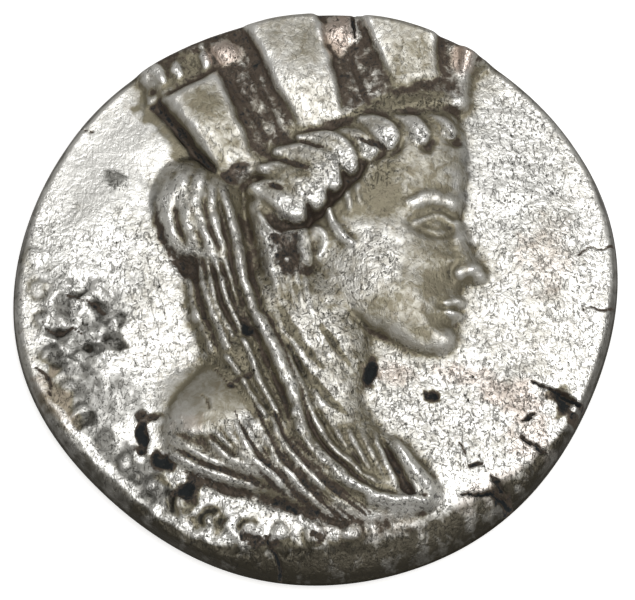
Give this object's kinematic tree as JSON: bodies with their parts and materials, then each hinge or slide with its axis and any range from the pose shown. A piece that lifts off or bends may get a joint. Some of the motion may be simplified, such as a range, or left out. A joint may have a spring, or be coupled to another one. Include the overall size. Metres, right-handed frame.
{
  "type": "ancient silver coin",
  "caption": "Thick hand-struck silver coin: a veiled, turreted bust in high relief on its upper face, a worn wreath on its lower face.",
  "frame": {"origin": "centre of the coin's plan box, on the plane of the worn reverse that it lies on", "axes": "+Z out of the obverse, +Y towards the crown of the head, +X the way the head faces"},
  "size_m": [0.029, 0.0284, 0.0036],
  "materials": {
    "toned_silver": "old struck silver: bright grey worn fields, warm grey relief, brown to black tarnish in the hollows, fine grain"
  },
  "bodies": {
    "root": {"coin": "toned_silver"}
  },
  "joints": []
}
